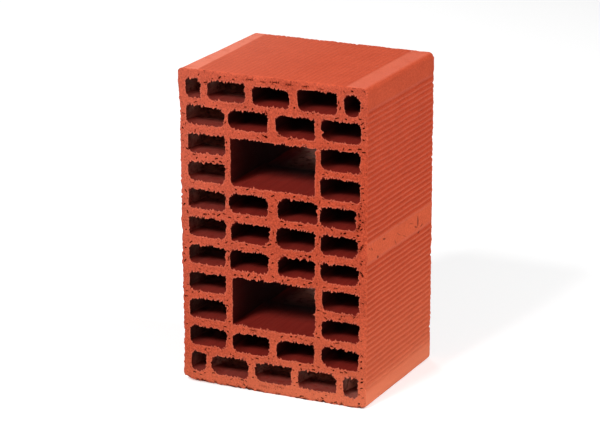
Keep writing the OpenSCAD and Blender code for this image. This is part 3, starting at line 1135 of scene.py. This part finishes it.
# %% Colour the paler regions
# The foot and the low regions are paler with painted light bounced up from the floor.
strip_and_highlight_tone, foot_bounce_tone, low_bounce_tone = (0.76, 0.205, 0.130), (0.94, 0.265, 0.138), (0.82, 0.22, 0.107)
anywhere = (-200.0, -100.0)  # mm: all of the brick is past this step in x
# Regions: share, where they begin and are full in x, and the same in z.
bounce_regions = (
    (0.18, (-110.0, 0.0), (length * 0.6, 0.0)),
    (0.26, anywhere, (34.0, 0.0)),
    (0.18, (low[0], 60.0), (90.0, 0.0)),
)
left_region = (0.24, (20.0, low[0]), (25.0, 190.0))
upper_region = (0.1, (-60.0, 50.0), (225.0, 260.0))
foot_bounce_step = (24.0, 4.0, 0.8)  # mm above the floor where the foot's painted bounce light begins and is full, and its share
PATCH_SIZE, patch_limits = 14.0, (0.0, 0.5)


def region_share(shader, lie, share, along_x, along_z):
    """How much of its tone a region gives to a point."""
    return shader.times(shader.ramp(lie.at["X"], *along_x), shader.ramp(lie.at["Z"], *along_z, share))


def paler(shader, lie, colour):
    """The colour with its paler regions; the low ones and the foot are painted bounce light from the
    floor.
    """
    bounce_share = shader.plus(*(region_share(shader, lie, *region) for region in bounce_regions))
    colour = shader.mix(bounce_share, colour, low_bounce_tone)
    patches = shader.ramp(shader.grain(lie.in_mm, PATCH_SIZE, detail=4, roughness=0.6), *patch_limits)
    strips = shader.times(shader.mark("smooth_strip"), patches, lie.skin)
    upper = shader.times(region_share(shader, lie, *upper_region), lie.cut)
    regions = shader.plus(region_share(shader, lie, *left_region), upper)
    colour = shader.mix(shader.math("MAXIMUM", strips, regions), colour, strip_and_highlight_tone)
    foot = shader.times(shader.ramp(lie.at["Z"], *foot_bounce_step), lie.skin)
    return shader.mix(foot, colour, foot_bounce_tone)


print(len(bounce_regions) + 2, "paler regions beside the strips and the foot")

# %% [markdown]
# The wire leaves the cut faces sandy. Their rims get a painted highlight, single grains have fallen out,
# and pits get painted shade that makes them nearly black. The grains are too small for bowls of their own,
# so the highest peaks of a fine noise get the pits' painted shade.

# %% Colour the torn clay
pit_shade_tone = (0.06, 0.004, 0.002)
rim_step = (0.6, 1.0, 0.4)  # the rim's mark where the painted highlight begins and is full, and its share
SPECK_SIZE, SPECK_LIMIT, MORE_AT_RIM, SPECK_SHARE = 1.3, 0.67, 0.05, 0.7


def torn_clay(shader, lie, colour):
    """The colour: a painted highlight on the rims, painted shade in fallen-out grains and, darkest, in
    pits.
    """
    rim_highlight = shader.times(shader.ramp(shader.mark("rim"), *rim_step), lie.cut)
    colour = shader.mix(rim_highlight, colour, strip_and_highlight_tone)
    # Fallen-out grains get the pits' painted shade.
    limit = shader.math("SUBTRACT", SPECK_LIMIT, shader.times(shader.mark("rim"), MORE_AT_RIM))
    speck = shader.math("GREATER_THAN", shader.grain(lie.in_mm, SPECK_SIZE, detail=2), limit)
    colour = shader.mix(shader.times(speck, lie.cut, SPECK_SHARE), colour, pit_shade_tone)
    return shader.mix(shader.mark("pit"), colour, pit_shade_tone)


print("specks of", SPECK_SIZE, "mm, more of them at the rims")

# %% [markdown]
# In the cells the marks of the walls come into play. Where clay is deep it goes over into a nearly black
# painted shade, and where it is hazy, clouds of a pale tone cover it: in the hand holes and the lowest row
# that pale tone is painted light from the back opening. The haze thickens behind the front, on the walls
# at once and on the floor only farther in.

# %% Colour the cells
# Painted shade: the clay of the cells is far darker than outside, and their walls are nearly black.
cell_deep, cell_pale, wall_shade_tone = (0.225, 0.016, 0.010), (0.265, 0.021, 0.013), (0.04, 0.004, 0.003)
# The pale haze, which in the hand holes and the lowest row is painted light from the back opening.
haze_tone = (0.85, 0.46, 0.345)
STREAK_SIZE, streak_limits = 3.0, (0.35, 0.65)
CLOUD_SIZE, cloud_limits = 6.0, (0.22, 0.52)
HAZE_DEPTH, HAZE_ON_FLOOR = 16.0, 22.0  # mm over which the haze thickens, and where it begins on a floor
THIN_HAZE = 0.06  # the share of it that lies in front of that


def cell_colour(shader, lie):
    """Streaked clay of the cells with painted shade, darkest on the walls, and the pale haze where it is
    marked.
    """
    streak = shader.ramp(shader.grain(lie.drawn, STREAK_SIZE, detail=2), *streak_limits)
    light = shader.rest(shader.mark("deep"))
    clay = shader.mix(light, wall_shade_tone, shader.mix(streak, cell_deep, cell_pale))
    cloud = shader.ramp(shader.grain(lie.in_mm, CLOUD_SIZE, detail=4, roughness=0.6), *cloud_limits)
    behind = shader.math("SUBTRACT", lie.at["Y"], front_y, shader.times(lie.level, HAZE_ON_FLOOR))
    depth = shader.math("MAXIMUM", shader.ramp(behind, 0.0, HAZE_DEPTH), THIN_HAZE)
    return shader.mix(shader.times(shader.mark("hazy"), cloud, depth), clay, haze_tone)


print("dust thickens over", HAZE_DEPTH, "mm")

# %% [markdown]
# Now the parts come together. The ground is mottled: slow clouds, lumps and sand move it between a deep
# and a pale tone, one pair for the skin that the die smoothed and one for the cut faces. On that lie the
# grooves, the paler regions, the torn clay and, last, the cells.

# %% Mix the clay's colour
cut_deep, cut_pale = (0.235, 0.020, 0.0085), (0.735, 0.114, 0.0505)
skin_deep, skin_pale = (0.47, 0.063, 0.026), (0.77, 0.126, 0.054)
# Mottling: size of the lumps in mm, roughness, the noise of the deep and of the pale tone, and share.
mottles = ((26.0, 0.5, 0.3, 0.7, 0.2), (2.2, 0.6, 0.3, 0.7, 0.4), (1.4, 0.6, 0.34, 0.66, 0.4))


def clay_colour(shader, lie):
    """Red clay with all its darker and paler places."""
    mottling = shader.plus(*(shader.ramp(shader.grain(lie.in_mm, size, roughness=roughness), *step)
                             for size, roughness, *step in mottles))
    skin = side_colour(shader, lie, shader.mix(mottling, skin_deep, skin_pale))
    colour = shader.mix(lie.cut, skin, shader.mix(mottling, cut_deep, cut_pale))
    for finish in (grooved, paler, torn_clay):
        colour = finish(shader, lie, colour)
    return shader.mix(shader.mark("in_cell"), colour, cell_colour(shader, lie))


print("mottling of", [size for size, *_ in mottles], "mm")

# %% [markdown]
# The plain band of the right side was scratched while the clay was soft. Each scratch is a stretched
# ball: a Mapping node moves and turns the coordinates, so that the ball's gradient is 1 in the middle of
# the scratch and 0 at its rim. The same share darkens the clay and dents it.

# %% Place the scratches
# Scratches of the right side: y, z, half length, half width, slant in degrees, strength.
scratches = [
    (39.5, 141.5, 6.5, 1.9, 90, 1.0), (35, 137.5, 3.5, 1.0, -22, 0.9), (48, 135.5, 3.5, 0.9, 15, 0.9),
    (42.5, 130.5, 3.0, 1.7, -8, 1.0), (-35.5, 146.5, 3.6, 1.2, -12, 1.0), (-49, 134, 2.6, 1.7, -12, 1.0),
    (-66, 146, 2.2, 1.0, -50, 0.8), (-61.5, 144.8, 2.6, 1.0, -50, 0.8), (-3, 141.5, 6.5, 0.7, -27, 0.5),
    (-10.5, 136.5, 4.0, 0.8, -50, 0.6), (25, 143.5, 5.0, 0.7, -18, 0.5), (9, 136.5, 5.0, 0.7, -25, 0.4),
]
SCRATCH_REACH = 4.0  # mm that a scratch reaches off the surface
SCRATCH_CORE = 0.5  # a scratch is full where its gradient is above this


def scratch_share(shader, in_mm):
    """1 in the scratches of the right side, 0 elsewhere."""
    share = 0.0
    for y, z, half_length, half_width, slant, strength in scratches:
        ball = shader.add("Mapping", {"vector_type": "TEXTURE"}, Vector=in_mm, Location=(high[0], y, z),
                          Rotation=(math.radians(slant), 0, 0),
                          Scale=(SCRATCH_REACH, half_length, half_width))
        inside = shader.add("TexGradient", {"gradient_type": "SPHERICAL"}, Vector=ball.outputs["Vector"])
        mark = shader.ramp(inside.outputs["Fac"], 0.0, SCRATCH_CORE, strength)
        share = shader.math("MAXIMUM", share, mark)
    return share


print(len(scratches), "scratches on the right side")

# %% [markdown]
# What is too fine for the mesh is bump: lines that the die drew on the skin, lines that the wire dragged
# over the cut faces, the scratches, and sand over all. Fired clay hardly shines, so it is very rough and
# nearly without sheen, and a pit has none.

# %% Mix the clay's relief
scuff_tone, SCUFF_SHARE = (0.10, 0.014, 0.009), 0.75
LINE_SIZE, DRAG_SIZE, SAND_SIZE = 1.5, 1.6, 1.2  # mm
LINE_STRENGTH, LINE_HEIGHT = 0.7, 0.0006  # heights in metres
SAND_STRENGTH, SAND_HEIGHT = 0.9, 0.0008
ROUGHNESS, SHEEN = 0.92, 0.08


def fired_clay():
    """Rough red clay with mottled tone, grain, drag lines and dark cells."""
    material = bpy.data.materials.new("fired_clay_finish")
    shader = Shader(material)
    lie = lie_of(shader)
    lines = shader.times(shader.grain(lie.drawn, LINE_SIZE, detail=2), lie.skin)
    drags = shader.times(shader.grain(lie.dragged, DRAG_SIZE), lie.cut)
    scratched = scratch_share(shader, lie.in_mm)
    height = shader.math("SUBTRACT", shader.plus(lines, drags), scratched)
    coarse = shader.add("Bump", Strength=LINE_STRENGTH, Distance=LINE_HEIGHT, Height=height)
    sand = shader.grain(lie.in_mm, SAND_SIZE, detail=4, roughness=0.7)
    fine = shader.add("Bump", Strength=SAND_STRENGTH, Distance=SAND_HEIGHT, Height=sand,
                      Normal=coarse.outputs["Normal"])
    colour = shader.mix(shader.times(scratched, SCUFF_SHARE), clay_colour(shader, lie), scuff_tone)
    sheen = shader.times(shader.rest(shader.mark("pit")), SHEEN)
    clay = shader.add("BsdfPrincipled", Base_Color=colour, Roughness=ROUGHNESS, Specular_IOR_Level=sheen,
                      Normal=fine.outputs["Normal"])
    shader.add("OutputMaterial", Surface=clay.outputs["BSDF"])
    return material


brick.data.materials.append(fired_clay())
print("clay material with", len(brick.data.materials[0].node_tree.nodes), "nodes")

# %% [markdown]
# ## Floor and light
# A pale floor and a white world stand in for a studio. A pure white world would light the brick from all
# sides and wash out its shape. So both are brighter to the eye than they are as light: the Light Path
# node tells the two apart.

# %% Set the floor
FLOOR_SIZE = 12.0
FLOOR_TONE, FLOOR_GLOW = 0.8, 0.4


def seen_directly(shader):
    """1 for rays from the camera, mirrors and glass, 0 for light that falls on the brick."""
    path = shader.add("LightPath").outputs
    through = shader.math("MAXIMUM", path["Is Glossy Ray"], path["Is Transmission Ray"])
    return shader.math("MAXIMUM", path["Is Camera Ray"], through)


def pale_floor():
    """A wide floor that looks white and keeps the brick's shadow."""
    half = FLOOR_SIZE / 2
    mesh = bpy.data.meshes.new("floor")
    corners = [(-half, -half, 0), (half, -half, 0), (half, half, 0), (-half, half, 0)]
    mesh.from_pydata(corners, [], [(0, 1, 2, 3)])
    floor = bpy.data.objects.new("floor", mesh)
    bpy.context.collection.objects.link(floor)
    material = bpy.data.materials.new("floor_paper")
    shader = Shader(material)
    paper = shader.add("BsdfDiffuse", Color=(FLOOR_TONE,) * 3)
    glow = shader.add("Emission", Strength=shader.times(seen_directly(shader), FLOOR_GLOW))
    both = shader.add("AddShader")
    shader.feed(both.inputs[0], paper.outputs[0])
    shader.feed(both.inputs[1], glow.outputs[0])
    shader.add("OutputMaterial", Surface=both.outputs[0])
    mesh.materials.append(material)
    return floor


pale_floor()
print("floor", FLOOR_SIZE, "m wide")

# %% Whiten the world
WORLD_LIGHT = 0.10


def white_world(level):
    """White to the eye, and a soft even light of that level."""
    world = bpy.data.worlds.new("studio")
    bpy.context.scene.world = world
    shader = Shader(world)
    light = shader.add("Background", Color=(1, 1, 1), Strength=level)
    white = shader.add("Background", Color=(1, 1, 1), Strength=1.0)
    either = shader.add("MixShader", Fac=seen_directly(shader))
    shader.feed(either.inputs[1], light.outputs[0])
    shader.feed(either.inputs[2], white.outputs[0])
    shader.add("OutputWorld", Surface=either.outputs[0])


white_world(WORLD_LIGHT)
print("world light", WORLD_LIGHT)

# %% [markdown]
# The key light comes from the front, a little to the left and about forty degrees up, so it reaches a
# short way into each cell. A broad fill lights the ribbed right side, and a weaker one keeps the back
# readable. Lamp powers follow from the brightness that a white card facing the lamp would have, where 1
# is white, so a lamp can be moved without a new guess at its power.

# %% Hang the lamps
centre = Vector((0, 0, length / 2 * MM))


def direction(azimuth, elevation):
    """Unit vector from the brick; azimuth 0 is the front and 90 the right side."""
    a, e = math.radians(azimuth), math.radians(elevation)
    return Vector((math.sin(a) * math.cos(e), -math.cos(a) * math.cos(e), math.sin(e)))


def soft_lamp(name, azimuth, elevation, distance, size, level):
    """A square lamp aimed at the brick that makes a facing white card look that bright."""
    lamp = bpy.data.lights.new(name, "AREA")
    lamp.size = size
    lamp.energy = level * math.pi ** 2 * distance ** 2
    holder = bpy.data.objects.new(name, lamp)
    towards = direction(azimuth, elevation)
    holder.location = centre + towards * distance
    holder.rotation_mode = "QUATERNION"
    holder.rotation_quaternion = towards.to_track_quat("Z", "Y")
    bpy.context.collection.objects.link(holder)
    print(name, "at", [round(v, 2) for v in holder.location], round(lamp.energy, 1), "W")


soft_lamp("key", azimuth=-11, elevation=41, distance=2.4, size=0.55, level=0.86)
soft_lamp("right_fill", azimuth=91, elevation=44, distance=2.2, size=0.6, level=0.65)
soft_lamp("back_fill", azimuth=222, elevation=30, distance=2.4, size=0.8, level=0.22)

# %% [markdown]
# ## Camera
# The brick is seen from a distance through a long lens: its upright edges hardly converge. The angles,
# the distance and the focal length come from fitting a camera to the corners of the real brick. The
# Standard view shows the mixed tones as they are, where the default one would bend them.

# %% Set the camera
CAMERA_AZIMUTH, CAMERA_ELEVATION = 25.33, 17.18
CAMERA_DISTANCE = 2.5456
FOCAL_LENGTH, SENSOR_WIDTH = 170.54, 36.0
AIM_RIGHT, AIM_UP = -0.0072, -0.0029

back = direction(CAMERA_AZIMUTH, CAMERA_ELEVATION)
right = Vector((-back.y, back.x, 0)).normalized()
aim = centre + right * AIM_RIGHT + back.cross(right) * AIM_UP
camera = bpy.data.objects.new("camera", bpy.data.cameras.new("camera"))
camera.data.lens, camera.data.sensor_width = FOCAL_LENGTH, SENSOR_WIDTH
camera.location = aim + back * CAMERA_DISTANCE
camera.rotation_mode = "QUATERNION"
camera.rotation_quaternion = back.to_track_quat("Z", "Y")
bpy.context.collection.objects.link(camera)
bpy.context.scene.camera = camera
bpy.context.scene.view_settings.view_transform = "Standard"
print("camera at", [round(v, 3) for v in camera.location])

# %% [markdown]
